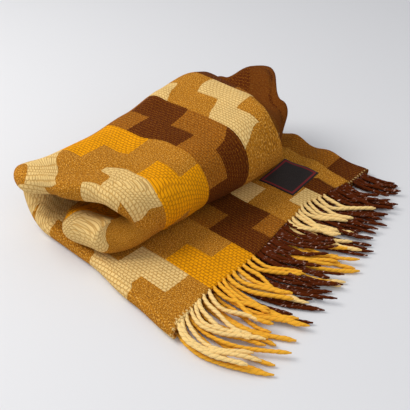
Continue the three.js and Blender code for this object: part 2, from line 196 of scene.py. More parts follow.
FRINGES = (
    # CAD node, layer, first y, last y, strands, length column, resting height, seed
    ("fringe_lower", BOTTOM, -62, 340, 40, 2, 2.6, 3),
    ("fringe_middle", MIDDLE, -40, 338, 38, 2, 7.6, 11),
    ("fringe_top", TOP, -72, 292, 42, 1, 12.6, 23),
)
STRAND_LINE = (
    # y, length on the upper row, length on the lower rows, sweep to the right, sag to the left half way
    (-80, 92, 112, 0.10, 15),
    (-30, 88, 112, 0.12, 11),
    (20, 80, 110, 0.16, 6),
    (95, 72, 104, 0.3, 4),
    (150, 66, 102, 0.36, 5),
    (210, 64, 98, 0.16, 8),
    (280, 62, 74, 0.2, 5),
    (352, 58, 52, 0.3, 2),
)
FRINGE_BANDS = {
    # the y where each colour starts
    "fringe_top": {-90: "cream", 0: "mustard", 82: "dark", 166: "cream", 250: "dark"},
    "fringe_middle": {-90: "mustard", 42: "cream", 60: "dark", 112: "mustard", 162: "cream", 196: "dark"},
    "fringe_lower": {-90: "mustard", 18: "dark", 84: "cream", 100: "mustard", 150: "dark"},
}
# Between the top layer's selvedge and the folded edge behind it, no strands show.
FRINGE_GAP = (297.0, 312.0)
# The least and the most of what chance adds to a strand or multiplies it by.
PLACE_CHANCE = (-1.5, 1.5)
LENGTH_CHANCE = (0.76, 1.08)
SWEEP_CHANCE = (-0.09, 0.09)
STRAY_CHANCE = (-0.34, 0.34)
SAG_CHANCE = (0.5, 1.4)
RADIUS_CHANCE = (0.92, 1.08)
WANDER_CHANCE = (1.2, 5.6)
BENDS_CHANCE = (3.2, 7.5)
TUFT_CHANCE = (-3, 3)
LEAN_CHANCE = (0.45, 1.1)
STRAY_SHARE = 0.14
STRANDS_IN_TUFT = 4
STRAND_STEPS = 84
STRAND_SIDES = 10
STRAND_FLOOR = 3.0
# How far strands start inside the hem.
ROOT_DEPTH = 1.0

LABEL = {"x": -73.0, "y": 247.0, "length": 58.0, "width": 68.0, "thick": 0.8, "turn": 0.06, "gap": 0.35}
LABEL_STEPS = 28
# How much smaller the label's upper side is, as a share of its size.
LABEL_INSET = 0.012
# The rim's outer and inner side in millimetres from the label's edge, and the colour of the ground's specks.
LABEL_RIM = ((1.6, 2.4), (4.6, 5.4))
LABEL_SPECK = (0.06, 0.045, 0.04, 1.0)
# The cloth's first rows, which reach well past the label.
ROWS_UNDER_LABEL = 60

# Noises of the wool: scale per millimetre, detail, roughness
WOOL_NOISES = {
    "fuzz": (0.9, 4.0, 0.7),
    "lumps": (0.16, 2.0, 0.5),
    "speck": (0.62, 1.0, 0.5),
    "fine": (0.54, 1.0, 0.5),
    "broad": (0.03, 3.0, 0.5),
}
# The weave's look. A pair is where a value begins to count and where it counts in full. A single value is a
# share of one colour over another or of the relief. Blocks are ragged by a noise times millimetres.
RAGGED_NOISE = (0.35, 2.0)
RAGGED = 3.0
RAGGED_ACROSS = -0.8
EDGE_ACROSS = (0.0, 0.42)
EDGE_ALONG = (0.0, 0.30)
CORNER_ACROSS = (0.1, 0.6)
CORNER_ALONG = (0.1, 0.5)
PALE_SPECK = (0.54, 0.65)
DARK_SPECK = (0.50, 0.61)
PALE_SHARE = 0.86
PALE_LESS_IN_DARK = 0.40
DARK_SHARE = 0.70
DOTS_IN_DARK = 0.55
# How strongly a painted shade darkens the whole flap behind the roll with the dark yarn's colour.
FLAP_PAINTED_SHADE = 0.76
GAP_SHARE = 0.88
GAP_LESS_IN_DARK = 0.73
YARN_SPECK = (0.42, 0.70)
YARN_SPECK_SHARE = 0.30
# Hem stitches follow a sine across, in radians per millimetre.
STITCH_RADIANS = 1.1
STITCH = (0.2, 0.6)
STITCH_FROM = (0.2, 0.8)
STITCH_TO = (2.6, 3.6)
STITCH_SHARE = 0.7
SHADE = 0.86
SHADE_BROAD = 0.28
GROUND_RELIEF = 0.35
FIGURE_RELIEF = 0.65
FUZZ_RELIEF = 0.9
LUMPS_RELIEF = 0.8
WOOL_SURFACE = {
    "Roughness": 0.92,
    "Specular IOR Level": 0.05,
    "Sheen Weight": 0.01,
    "Sheen Roughness": 0.45,
    "Sheen Tint": (1.0, 0.86, 0.62, 1.0),
}

# Metres and degrees in the part's frame.
LIGHTS = (
    # name, place, size, power, colour
    ("key", (-1.08, -0.72, 1.5), 1.3, 29.0, (1.0, 0.98, 0.95)),
    ("fill", (1.3, -0.6, 1.2), 1.8, 7.0, (0.95, 0.97, 1.0)),
)
LIGHT_TARGET = (0.0, 0.0, 0.05)
CAMERA = {"view": 34.0, "azimuth": 42.0, "elevation": 37.0, "distance": 0.940}
CAMERA_TARGET = (-0.04406, -0.0029, 0.0)
FLOOR_HALF = 4.0
FLOOR_Z = -0.0004
FLOOR_ROUGHNESS = 0.7
WORLD_COLOUR = (0.86, 0.88, 0.93, 1.0)
WORLD_STRENGTH = 0.55

# In metres
SIZES = {
    "cloth": ("Thickness of one layer", 0.0045),
    "brick_long": ("Length of a weave cell", 0.0062),
    "brick_wide": ("Width of a weave cell", 0.0044),
    "strand": ("Radius of a wool strand", 0.0027),
    "thin_strand": ("Radius of a dark strand", 0.0022),
    "twist": ("Length of one full turn of a strand", 0.016),
}
COLOURS = {
    "ochre": ("Ground of the cloth", (0.46, 0.175, 0.010)),
    "ochre_pale": ("Pale specks of the ground", (0.82, 0.42, 0.075)),
    "ochre_deep": ("Dark specks of the ground", (0.17, 0.055, 0.010)),
    "ochre_dark": ("Ground over the dark warp", (0.37, 0.118, 0.006)),
    "cream": ("Cream yarn", (0.89, 0.615, 0.24)),
    "cream_gap": ("Gaps of the cream weave", (0.64, 0.345, 0.085)),
    "mustard": ("Mustard yarn", (0.93, 0.375, 0.003)),
    "mustard_yarn": ("Mustard strands of the fringe", (0.84, 0.41, 0.035)),
    "mustard_gap": ("Gaps of the mustard weave", (0.52, 0.18, 0.003)),
    "dark": ("Dark brown yarn", (0.086, 0.015, 0.002)),
    "dark_gap": ("Flecks of the dark weave", (0.33, 0.105, 0.008)),
    "fleck": ("Pale flecks of the dark strands", (0.62, 0.42, 0.34)),
    "label": ("Ground of the woven label", (0.022, 0.017, 0.017)),
    "label_rim": ("Rim of the woven label", (0.20, 0.018, 0.022)),
    "floor": ("Pale studio floor", (0.71, 0.71, 0.72)),
}


def length_property(name, description, default):
    return bpy.props.FloatProperty(
        name=name, description=description, default=default, unit="LENGTH", subtype="DISTANCE", min=0.0
    )


def colour_property(name, description, default):
    return bpy.props.FloatVectorProperty(
        name=name, description=description, default=(*default, 1.0), subtype="COLOR", size=4, min=0.0, max=1.0
    )


def properties(rows, kind):
    """One property of a kind for each row, named in the panel as in the table."""
    return {name: kind(name.replace("_", " ").capitalize(), *values) for name, values in rows.items()}


class ThrowSizes(bpy.types.PropertyGroup):
    __annotations__ = properties(SIZES, length_property)


class ThrowColours(bpy.types.PropertyGroup):
    __annotations__ = properties(COLOURS, colour_property)


def size_of(name):
    """A size from the panel in millimetres."""
    return getattr(bpy.context.scene.throw_sizes, name) * 1000.0


def colour_of(name):
    return getattr(bpy.context.scene.throw_colours, name)[:]


def smooth(share):
    """3 times the square minus 2 times the cube, held at 0 below 0 and at 1 above 1."""
    share = np.clip(share, 0.0, 1.0)
    return share * share * (3.0 - 2.0 * share)


def eased(value, span):
    """0 up to the span's start and 1 past its length, eased between."""
    return smooth((value - span[0]) / span[1])


def bell(distance, width):
    """E to minus the square of the distance over the width."""
    return np.exp(-((distance / width) ** 2))


def along(rows, y, column=1):
    """The table's value at every y, eased between its rows."""
    table = np.array(rows, float)
    y = np.clip(y, table[0, 0], table[-1, 0])
    after = np.clip(np.searchsorted(table[:, 0], y), 1, len(table) - 1)
    low = table[after - 1]
    high = table[after]
    share = smooth((y - low[..., 0]) / (high[..., 0] - low[..., 0]))
    return low[..., column] + (high[..., column] - low[..., column]) * share


def waves(rows, x):
    """The sum of bells, each times its height."""
    total = np.zeros_like(x)
    for middle, height, width in rows:
        total = total + height * bell(x - middle, width)
    return total


def inward(heading):
    """The unit direction a quarter turn clockwise from the heading, in x and z."""
    return np.array([math.sin(heading), -math.cos(heading)])


def route_stations():
    """Places on the route: straight runs, and quarter circles of the given radius on the inward side."""
    found = []
    place = np.array([HEM_X, PITCH + CLOTH / 2])
    heading = math.pi
    travelled = 0.0
    before = np.array(ROUTE[0][3:], float)
    found.append((*place, *-inward(heading), travelled, *before))
    for kind, length, steps, *values in ROUTE[1:]:
        values = np.array(values, float)
        start = place
        first = heading
        arc = length * math.pi / 2 if kind == "bend" else length
        for step in range(1, steps + 1):
            share = step / steps
            if kind == "bend":
                heading = first - share * math.pi / 2
                place = start + length * (inward(first) - inward(heading))
            else:
                place = start + length * share * np.array([math.cos(first), math.sin(first)])
            mixed = before + (values - before) * smooth(share)
            found.append((*place, *-inward(heading), travelled + arc * share, *mixed))
        travelled += arc
        before = values
    names = ("x", "z", "out_x", "out_z", "distance") + ROUTE_COLUMNS
    return SimpleNamespace(**{name: column[:, None] for name, column in zip(names, np.array(found).T)})


def cloth_section(route):
    """Y, outward offset, layer and warp coordinate for every station and every column of the section.

    The section is a letter Z lying down: the top layer from its free edge to the left fold, half a circle
    there, the bottom layer to the right fold, a smaller half circle, and the middle layer back to the left.
    Beside the left fold both layers swell by a bell, and the right fold draws in by the tuck's bell.
    The warp coordinate is the flat distance in millimetres from the cloth's left fold at its hem, plus the
    lean on the roll's front.
    """
    distance = route.distance
    half = route.pitch + (route.inner + route.outer) / 2
    tucked = TUCK["depth"] * bell(distance - TUCK["at"], TUCK["width"])
    fold_y = route.left + half + CLOTH / 2
    back_radius = route.pitch / 2
    back_y = route.right - tucked - back_radius - CLOTH / 2
    shares = [np.arange(count) / count for count in SECTION_COUNTS]
    shares[MIDDLE] = np.append(shares[MIDDLE], 1.0)

    top_y = route.flap + (fold_y - route.flap) * shares[TOP]
    turn = math.pi * shares[LEFT]
    left_y = fold_y - half * np.sin(turn)
    left_offset = (route.outer - route.inner) / 2 - half * np.cos(turn)
    bottom_y = fold_y + (back_y - fold_y) * shares[BOTTOM]
    turn = math.pi * shares[RIGHT]
    right_y = back_y + back_radius * np.sin(turn)
    middle_y = back_y + (fold_y + HIDDEN_SELVEDGE - back_y) * shares[MIDDLE]
    top_offset = -(route.pitch + route.inner * bell(top_y - fold_y, FOLD_REACH))
    bottom_offset = route.pitch + route.outer * bell(bottom_y - fold_y, FOLD_REACH)
    right_offset = back_radius + back_radius * np.cos(turn)
    offset = (top_offset, left_offset, bottom_offset, right_offset, np.zeros_like(middle_y))

    # On the floor the top layer's warps are straight; in the roll the bottom layer's are.
    arc = math.pi * half
    straight = fold_y + FIRST_WARP
    warp_top = straight + eased(distance, WARPS_CHANGE) * (arc - 2 * straight)
    warp_bottom = warp_top - arc
    warp_back = warp_bottom - (back_y - fold_y)
    warp = (
        warp_top + top_y - fold_y,
        warp_top - arc * shares[LEFT],
        warp_bottom - (bottom_y - fold_y),
        warp_back - math.pi * back_radius * shares[RIGHT],
        warp_back - math.pi * back_radius - (back_y - middle_y),
    )

    y = np.concatenate([top_y, left_y, bottom_y, right_y, middle_y], 1)
    lean = LEAN["width"] * eased(distance, LEAN["distance"]) * (1 - eased(y, LEAN["fades"]))
    warp = np.concatenate(warp, 1) + lean
    layer = np.repeat(np.arange(len(shares)), [len(share) for share in shares])
    return y, np.concatenate(offset, 1), layer, warp


def edge_lift(route, y, layer):
    """How far the free edges stand off to the inner side.

    On the floor they rise in waves, which ease in towards the edge. Over the top of the roll the top layer
    flares to the outer side, eased from the right fold on, and its rim is a step lower.
    """
    distance = route.distance
    flap = route.flap
    right = route.right
    floor = 1 - eased(distance, FLOOR_END)
    over = eased(distance, FLARE_BEGINS) * (1 - eased(distance, FLARE_ENDS))
    top = floor * smooth((y - (flap - FLAP_LIFT_FROM)) / FLAP_LIFT_FROM) * waves(FLAP_WAVES, route.x)
    top = top - over * FLARE_HEIGHT * smooth((y - right - FLARE_CLEAR) / FLARE_REACH)
    top = top + over * FLAP_RIM["step"] * (1 - smooth((flap - y - FLAP_RIM["width"]) / FLAP_RIM["over"]))
    rest = floor * smooth((y - (right - FOLD_LIFT_FROM)) / FOLD_LIFT_FROM) * waves(FOLD_WAVES, route.x)
    return np.where(layer == TOP, top, np.where(layer == LEFT, 0.0, rest))


def crease_height(route, y, layer):
    """Each crease is a bell across the straight line between its two ends, eased out past them."""
    total = np.zeros_like(y)
    distance = route.distance
    for on_layer, first_s, first_y, last_s, last_y, height, width in CREASES:
        way = np.array([last_s - first_s, last_y - first_y], float)
        length = np.hypot(*way)
        way = way / length
        forward = (distance - first_s) * way[0] + (y - first_y) * way[1]
        sideways = (distance - first_s) * way[1] - (y - first_y) * way[0]
        ends = smooth((forward + width) / (2 * width)) * smooth((length + width - forward) / (2 * width))
        total = total + (layer == on_layer) * height * ends * bell(sideways, width)
    return total


def unevenness(route, warp):
    """A slow wobble of the cloth: a few sines of the distance along it and of the warp coordinate."""
    s = route.distance
    slow = 0.5 * np.sin(s / 23.0 + warp / 41.0) + 0.4 * np.sin(s / 37.0 - warp / 29.0 + 1.3)
    return slow + 0.3 * np.sin(s / 13.0 + 2.1) * np.sin(warp / 17.0 + 0.4)


def cloth_points(route, y, offset, layer):
    """The middle surface.

    Every point moves along its station's outward side by its offset. The hem's line and the front's line
    then shift it in X, and its height above RISE_FROM is multiplied by the rise line.
    """
    offset = offset - edge_lift(route, y, layer)
    hem = along(HEM_LINE, y) * (1 - eased(route.distance, HEM_SHIFT_ENDS))
    start = route.x + route.out_x * offset + hem
    level = route.z + route.out_z * offset
    moved = eased(level, FRONT_HEIGHT) * eased(start, FRONT_AHEAD) * eased(route.distance, FRONT_BEGINS)
    x = start + along(FRONT_LINE, y) * moved
    z = np.where(level > RISE_FROM, RISE_FROM + (level - RISE_FROM) * along(RISE_LINE, y), level)
    return np.stack([x, y, z], -1)


def unit(ways):
    """Every vector over its own length."""
    return ways / np.maximum(np.linalg.norm(ways, axis=-1, keepdims=True), 1e-9)


def grid_normals(points):
    """Unit normals of a grid: the cross product of its differences along the two directions."""
    return unit(np.cross(np.gradient(points, axis=0), np.gradient(points, axis=1)))


def to_scene(points):
    """Millimetres in the photo's frame to metres in the part's."""
    return (points - np.array([ORIGIN[0], ORIGIN[1], 0.0])) / 1000.0


def grid_faces(rows, columns, closed=False):
    """Quads of a grid of vertices stored row by row, with its columns closed to a ring or not."""
    row = np.arange(rows - 1)[:, None] * columns
    column = np.arange(columns if closed else columns - 1)[None, :]
    after = (column + 1) % columns
    corners = (row + column, row + columns + column, row + columns + after, row + after)
    return np.stack(corners, -1).reshape(-1, 4)


def new_object(name, data):
    made = bpy.data.objects.new(name, data)
    bpy.context.scene.collection.objects.link(made)
    return made


def make_object(name, points, faces, material, attributes=None, triangles=()):
    """A smooth mesh object at the origin from arrays of points and of quads, with named point attributes."""
    mesh = bpy.data.meshes.new(name)
    mesh.from_pydata(points.reshape(-1, 3).tolist(), [], faces.tolist() + list(triangles))
    mesh.polygons.foreach_set("use_smooth", np.ones(len(mesh.polygons), bool))
    for key, values in (attributes or {}).items():
        layer = mesh.attributes.new(key, "FLOAT_VECTOR", "POINT")
        layer.data.foreach_set("vector", np.ascontiguousarray(values, dtype=np.float32).ravel())
    mesh.update()
    mesh.materials.append(material)
    return new_object(name, mesh)


class Nodes:
    """Short words for building a node tree."""

    def __init__(self, tree):
        self.tree = tree

    def new(self, kind, **settings):
        node = self.tree.nodes.new(kind)
        for key, value in settings.items():
            setattr(node, key, value)
        return node

    def feed(self, socket, value):
        if isinstance(value, bpy.types.NodeSocket):
            self.tree.links.new(value, socket)
        else:
            socket.default_value = value

    def math(self, operation, *values):
        node = self.new("ShaderNodeMath", operation=operation)
        for socket, value in zip(node.inputs, values):
            self.feed(socket, value)
        return node.outputs[0]

    plus = partialmethod(math, "ADD")
    minus = partialmethod(math, "SUBTRACT")
    times = partialmethod(math, "MULTIPLY")
    over = partialmethod(math, "DIVIDE")
    above = partialmethod(math, "GREATER_THAN")
    below = partialmethod(math, "LESS_THAN")
    larger = partialmethod(math, "MAXIMUM")
    size = partialmethod(math, "ABSOLUTE")
    floor = partialmethod(math, "FLOOR")

    def side(self, value):
        """0 at whole values and 1 half way between: 1 minus the size of twice the fraction minus 1."""
        share = self.minus(value, self.floor(value))
        return self.minus(1.0, self.size(self.minus(self.times(share, 2.0), 1.0)))

    def mix(self, factor, first, second):
        node = self.new("ShaderNodeMix", data_type="RGBA")
        self.feed(node.inputs[0], factor)
        self.feed(node.inputs[6], first)
        self.feed(node.inputs[7], second)
        return node.outputs[2]

    def toned(self, colour, value):
        node = self.new("ShaderNodeHueSaturation")
        self.feed(node.inputs["Value"], value)
        self.feed(node.inputs["Color"], colour)
        return node.outputs[0]

    def split(self, vector):
        node = self.new("ShaderNodeSeparateXYZ")
        self.feed(node.inputs[0], vector)
        return tuple(node.outputs)

    def attribute(self, name):
        return self.new("ShaderNodeAttribute", attribute_name=name).outputs["Vector"]

    def noise(self, vector, scale, detail=2.0, roughness=0.5):
        node = self.new("ShaderNodeTexNoise")
        self.feed(node.inputs["Vector"], vector)
        for key, value in (("Scale", scale), ("Detail", detail), ("Roughness", roughness)):
            node.inputs[key].default_value = value
        return node.outputs["Fac"]

    def span(self, value, low, high):
        """0 at low, 1 at high, eased and held outside."""
        node = self.new("ShaderNodeMapRange", interpolation_type="SMOOTHSTEP")
        self.feed(node.inputs[0], value)
        node.inputs[1].default_value = low
        node.inputs[2].default_value = high
        return node.outputs[0]


def new_group(name, inputs, outputs):
    tree = bpy.data.node_groups.new(name, "ShaderNodeTree")
    for way, sockets in (("INPUT", inputs), ("OUTPUT", outputs)):
        for label, kind in sockets.items():
            tree.interface.new_socket(name=label, in_out=way, socket_type="NodeSocket" + kind)
    n = Nodes(tree)
    return tree, n, n.new("NodeGroupInput"), n.new("NodeGroupOutput")


def stepped_weave_group():
    """Cloth places in millimetres (along, across) and rules (front, rolled, mode) to colour and relief.

    Rolled is 0 on the floor, 1 in the roll and 2 on the flap; the modes are in weave_coordinates. A block
    shows while the place along, less its column's start, is in the first half of a repeat. The cloth's back
    shows the reverse.
    """
    inputs = {"Cloth": "Vector", "Rules": "Vector"}
    tree, n, given, out = new_group("Stepped weave", inputs, {"Colour": "Color", "Height": "Float"})
    cloth = given.outputs["Cloth"]
    u, w, _ = n.split(cloth)
    shake = n.times(n.minus(n.noise(cloth, *RAGGED_NOISE), 0.5), RAGGED)
    u = n.plus(u, shake)
    w = n.plus(w, n.times(shake, RAGGED_ACROSS))

    # Blocks
    front, rolled, mode = n.split(given.outputs["Rules"])
    column = n.floor(n.over(w, CELL))
    flat_start = n.plus(n.size(n.minus(column, FLAT_TURN["column"])), FLAT_TURN["start"])
    column = n.floor(n.over(w, -CELL))
    roll_start = n.minus(ROLL_TURN["start"], n.size(n.minus(column, ROLL_TURN["column"])))
    change = n.times(n.above(rolled, 0.5), n.minus(roll_start, flat_start))
    row = n.over(n.minus(n.over(u, CELL), n.plus(flat_start, change)), BLOCK_REPEAT)
    block = n.below(n.minus(row, n.floor(row)), 0.5)
    figure = n.size(n.minus(block, n.below(front, 0.5)))
    figure = n.times(figure, n.minus(1.0, n.below(mode, -0.5)))
    figure = n.larger(figure, n.above(mode, 0.5))

    # Warp colours
    yarn = colour_of(WARP_BANDS[0][1])
    gap = colour_of(WARP_BANDS[0][1] + "_gap")
    is_dark = 0.0
    for first, name in WARP_BANDS[1:]:
        beyond = n.above(n.size(w), first * CELL)
        yarn = n.mix(beyond, yarn, colour_of(name))
        gap = n.mix(beyond, gap, colour_of(name + "_gap"))
        target = 1.0 if name == "dark" else 0.0
        is_dark = n.plus(is_dark, n.times(beyond, n.minus(target, is_dark)))

    # Bricks: rows across the warp, each row half a brick along from the last
    across = n.over(w, size_of("brick_wide"))
    half = n.times(n.math("MODULO", n.size(n.floor(across)), 2.0), 0.5)
    side_across = n.side(across)
    side_along = n.side(n.plus(n.over(u, size_of("brick_long")), half))
    brick = n.times(n.span(side_across, *EDGE_ACROSS), n.span(side_along, *EDGE_ALONG))
    off_across = n.minus(1.0, n.span(side_across, *CORNER_ACROSS))
    off_along = n.minus(1.0, n.span(side_along, *CORNER_ALONG))
    corner = n.times(off_across, off_along)
    between = n.minus(1.0, brick)

    # The ground with its tweed specks, darker between the bricks of dark warps, and darkened all over the
    # flap by a painted shade
    fuzz, lumps, speck, fine, broad = (n.noise(cloth, *values) for values in WOOL_NOISES.values())
    ground = n.mix(is_dark, colour_of("ochre"), colour_of("ochre_dark"))
    pale_share = n.minus(PALE_SHARE, n.times(is_dark, PALE_LESS_IN_DARK))
    pale_speck = n.times(n.span(speck, *PALE_SPECK), pale_share)
    dark_speck = n.times(n.span(fine, *DARK_SPECK), DARK_SHARE)
    tweed = n.mix(dark_speck, ground, colour_of("ochre_deep"))
    tweed = n.mix(pale_speck, tweed, colour_of("ochre_pale"))
    dots_and_flap_shade = n.times(between, n.times(is_dark, DOTS_IN_DARK))
    # Painted shade: the flap behind the roll is darkened all over with the dark yarn's colour.
    dots_and_flap_shade = n.larger(dots_and_flap_shade, n.times(n.above(rolled, 1.5), FLAP_PAINTED_SHADE))
    tweed = n.mix(dots_and_flap_shade, tweed, colour_of("dark"))

    # The blocks' yarn, whose gaps show between the bricks, and at corners alone in dark warps
    open_gap = n.times(between, n.minus(GAP_SHARE, n.times(is_dark, GAP_LESS_IN_DARK)))
    open_gap = n.larger(open_gap, n.times(corner, is_dark))
    yarn_speck = n.times(n.span(fine, *YARN_SPECK), YARN_SPECK_SHARE)
    woven = n.mix(open_gap, n.mix(yarn_speck, yarn, gap), gap)
    colour = n.mix(figure, tweed, woven)

    # Hem stitches, the broad shade and the relief
    stitch = n.span(n.math("SINE", n.times(w, STITCH_RADIANS)), *STITCH)
    at_hem = n.times(n.span(u, *STITCH_FROM), n.minus(1.0, n.span(u, *STITCH_TO)))
    colour = n.mix(n.times(n.times(stitch, at_hem), STITCH_SHARE), colour, colour_of("cream"))
    shade = n.plus(SHADE, n.times(broad, SHADE_BROAD))
    n.feed(out.inputs["Colour"], n.toned(colour, shade))
    height = n.times(brick, n.plus(GROUND_RELIEF, n.times(figure, FIGURE_RELIEF)))
    height = n.plus(height, n.times(fuzz, FUZZ_RELIEF))
    height = n.plus(height, n.times(lumps, LUMPS_RELIEF))
    n.feed(out.inputs["Height"], height)
    return tree


def yarn_group():
    """Strand coordinates (along, ply, seed) to shade, flecks and relief.

    The shade is a painted shade in the groove between the plies, 0.74 plus up to 0.28 out of the groove,
    times 0.75 plus half the noise of the fibres. Flecks are a noise drawn out along the strand.
    """
    outputs = {"Shade": "Float", "Fleck": "Float", "Height": "Float"}
    tree, n, given, out = new_group("Plied yarn", {"Strand": "Vector"}, outputs)
    strand = given.outputs["Strand"]
    gone, ply, seed = n.split(strand)
    fibre = n.noise(strand, 1.1, 4.0, 0.7)
    drawn = n.new("ShaderNodeCombineXYZ")
    for socket, value in zip(drawn.inputs, (n.times(gone, 0.16), n.times(ply, 2.4), seed)):
        n.feed(socket, value)
    blotch = n.noise(drawn.outputs[0], 1.0)
    # Painted shade: darker in the groove between the plies.
    groove = n.plus(0.74, n.times(n.span(ply, 0.05, 0.55), 0.28))
    n.feed(out.inputs["Shade"], n.times(groove, n.plus(0.75, n.times(fibre, 0.5))))
    n.feed(out.inputs["Fleck"], n.span(blotch, 0.62, 0.70))
    n.feed(out.inputs["Height"], fibre)
    return tree


def new_material(name, strength, distance):
    """Wool: rough, with a soft sheen, and a bump whose height is fed later."""
    material = bpy.data.materials.new(name)
    material.use_nodes = True
    n = Nodes(material.node_tree)
    material.node_tree.nodes.clear()
    surface = n.new("ShaderNodeBsdfPrincipled")
    for key, value in WOOL_SURFACE.items():
        surface.inputs[key].default_value = value
    bump = n.new("ShaderNodeBump")
    bump.inputs["Strength"].default_value = strength
    bump.inputs["Distance"].default_value = distance
    out = n.new("ShaderNodeOutputMaterial")
    n.feed(surface.inputs["Normal"], bump.outputs[0])
    n.feed(out.inputs["Surface"], surface.outputs[0])
    return material, n, surface, bump


def cloth_material():
    material, n, surface, bump = new_material("Throw cloth", 0.9, 0.0011)
    group = n.new("ShaderNodeGroup", node_tree=stepped_weave_group())
    n.feed(group.inputs["Cloth"], n.attribute("cloth"))
    n.feed(group.inputs["Rules"], n.attribute("rules"))
    n.feed(surface.inputs["Base Color"], group.outputs["Colour"])
    n.feed(bump.inputs["Height"], group.outputs["Height"])
    return material


def yarn_material(name, colour, fleck_share):
    material, n, surface, bump = new_material(name, 0.7, 0.0006)
    group = n.new("ShaderNodeGroup", node_tree=bpy.data.node_groups.get("Plied yarn") or yarn_group())
    n.feed(group.inputs["Strand"], n.attribute("strand"))
    flecked = n.mix(n.times(group.outputs["Fleck"], fleck_share), colour, colour_of("fleck"))
    n.feed(surface.inputs["Base Color"], n.toned(flecked, group.outputs["Shade"]))
    n.feed(bump.inputs["Height"], group.outputs["Height"])
    return material


def label_material():
    """A plain dark woven ground with a thin red rim, in the label's own millimetres along and across.

    Its threads are a sine across, 5.2 radians to the millimetre.
    """
    material, n, surface, bump = new_material("Woven label", 0.4, 0.0003)
    surface.inputs["Roughness"].default_value = 0.6
    surface.inputs["Sheen Weight"].default_value = 0.1
    weave = n.attribute("weave")
    x, y, _ = n.split(weave)
    edge_x = n.minus(LABEL["length"] / 2, n.size(x))
    edge_y = n.minus(LABEL["width"] / 2, n.size(y))
    edge = n.math("MINIMUM", edge_x, edge_y)
    rim = n.times(n.span(edge, *LABEL_RIM[0]), n.minus(1.0, n.span(edge, *LABEL_RIM[1])))
    threads = n.math("SINE", n.times(y, 5.2))
    speck = n.noise(weave, 1.2, 3.0, 0.6)
    ground = n.mix(n.span(speck, 0.45, 0.75), colour_of("label"), LABEL_SPECK)
    n.feed(surface.inputs["Base Color"], n.mix(rim, ground, colour_of("label_rim")))
    n.feed(bump.inputs["Height"], n.plus(n.times(threads, 0.4), speck))
    return material


def cloth_grid():
    """The route, and the middle surface's points, layers and warp coordinates, with its relief added."""
    route = route_stations()
    y, offset, layer, warp = cloth_section(route)
    relief = crease_height(route, y, layer) + unevenness(route, warp)
    offset = offset + relief * eased(route.distance, RELIEF_BEGINS)
    points = cloth_points(route, y, offset, layer)
    return route, points, layer, warp


def travel(points):
    """Distance along each column of a grid from its first row."""
    lengths = np.linalg.norm(np.diff(points, axis=0), axis=-1)
    return np.vstack([np.zeros((1, points.shape[1])), np.cumsum(lengths, 0)])


def plain_weave(route, points, outer, layer):
    """Millimetres along the cloth for every point.

    On the floor's top layer they follow X. On the roll they follow the distance travelled by the outer side,
    which the left fold and the top layer take over from the bottom layer's edge.
    """
    distance = route.distance
    u = travel(outer)
    first = int(np.argmax(layer == BOTTOM))
    rolled = eased(distance, ROLL_WEAVE_BEGINS)
    u = u + rolled * np.isin(layer, (TOP, LEFT)) * (u[:, first:first + 1] - u)
    return u + (-points[..., 0] - u) * (layer == TOP) * (1 - eased(distance, FLOOR_END))


def pulled(u, warp):
    """The weave moved by the fold's pulls, and by one bell-shaped pull at the roll's right end.

    A fold's pull comes from the table at that place along, times 1 - smooth(distance / reach) on either side
    of the fold. The move on the inner side eases in from INNER_SHIFT_FROM over one cell. The bell is e to
    minus the square of the distance over its width.
    """
    table = np.array(FOLD_PULLS)
    place = u / CELL
    away = warp / CELL
    by_u, by_w, outer, inner, inside = (np.interp(place, table[:, 0], table[:, k]) for k in range(1, 6))
    share = np.where(away < 0, 1 - smooth(-away / outer), 1 - smooth((away - INNER_PULL_FROM) / inner))
    right = (place - RIGHT_PULL["along"]) ** 2 + (away - RIGHT_PULL["across"]) ** 2
    by_u = by_u * share + inside * smooth(away - INNER_SHIFT_FROM)
    by_u = by_u + RIGHT_PULL["moved"] * np.exp(-right / RIGHT_PULL["width"] ** 2)
    return u + by_u * CELL, warp + by_w * share * CELL


def weave_coordinates(route, points, outer, layer, warp):
    """Where every point lies in the woven pattern: along, across, 1 where rolled or 2 on the flap, a mode.

    The mode is 0 for the stepped blocks, -1 for the ground alone and 1 for a whole block.
    """
    distance = route.distance
    y = points[..., 1]
    u = plain_weave(route, points, outer, layer)
    roll = (distance > ROLL_FROM) | np.isin(layer, (BOTTOM, RIGHT, MIDDLE))
    plain = (distance > PLAIN_GROUND["from"]) & (distance < PLAIN_GROUND["to"])
    plain = plain & (np.abs(warp) < PLAIN_GROUND["across"] * CELL)
    plain = plain | (distance > PLAIN_END["from"]) & (warp < -PLAIN_END["across"] * CELL)
    selvedge = (distance < ROLL_FROM) & (np.abs(warp) > PLAIN_SELVEDGE["across"] * CELL)
    plain = plain | selvedge & ((layer == TOP) | (u > PLAIN_SELVEDGE["hem"]))
    full = selvedge & (layer != TOP) & (u <= PLAIN_SELVEDGE["hem"])
    pulled_u, pulled_warp = pulled(u, warp)
    share = eased(distance, PULLS_BEGIN)
    u = u + share * (pulled_u - u)
    warp = warp + share * (pulled_warp - warp)
    mirrored = (PLAIN_SELVEDGE["shown"] + PLAIN_SELVEDGE["across"]) * CELL - warp
    warp = np.where(selvedge & (layer == TOP), mirrored, warp)
    on_flap = (layer == TOP) & (distance > FLAP["from"]) & (y > route.right - FLAP["inside"])
    warp = np.where(on_flap, FLAP["across"] * CELL + y - FLAP["y"], warp)
    dark_to = FLAP["dark_to"] + FLAP["slant"] * (FLAP["y"] - y)
    to_edge = route.flap - FLAP_RIM["width"] - y
    # A dark block on the flap, and a line of the dark yarn along the rim's step as painted shade.
    block = on_flap & ((distance < dark_to) & (to_edge > 0) | (np.abs(to_edge) < FLAP_RIM["gap"]))
    mode = np.where(block | full & ~on_flap, 1.0, np.where(on_flap | plain, -1.0, 0.0))
    return u, warp, 1.0 * roll + on_flap, mode


def past_edge(edge, inside, length):
    """Points past an edge by a length, in the line from the points beside it."""
    return edge + unit(edge - inside) * length


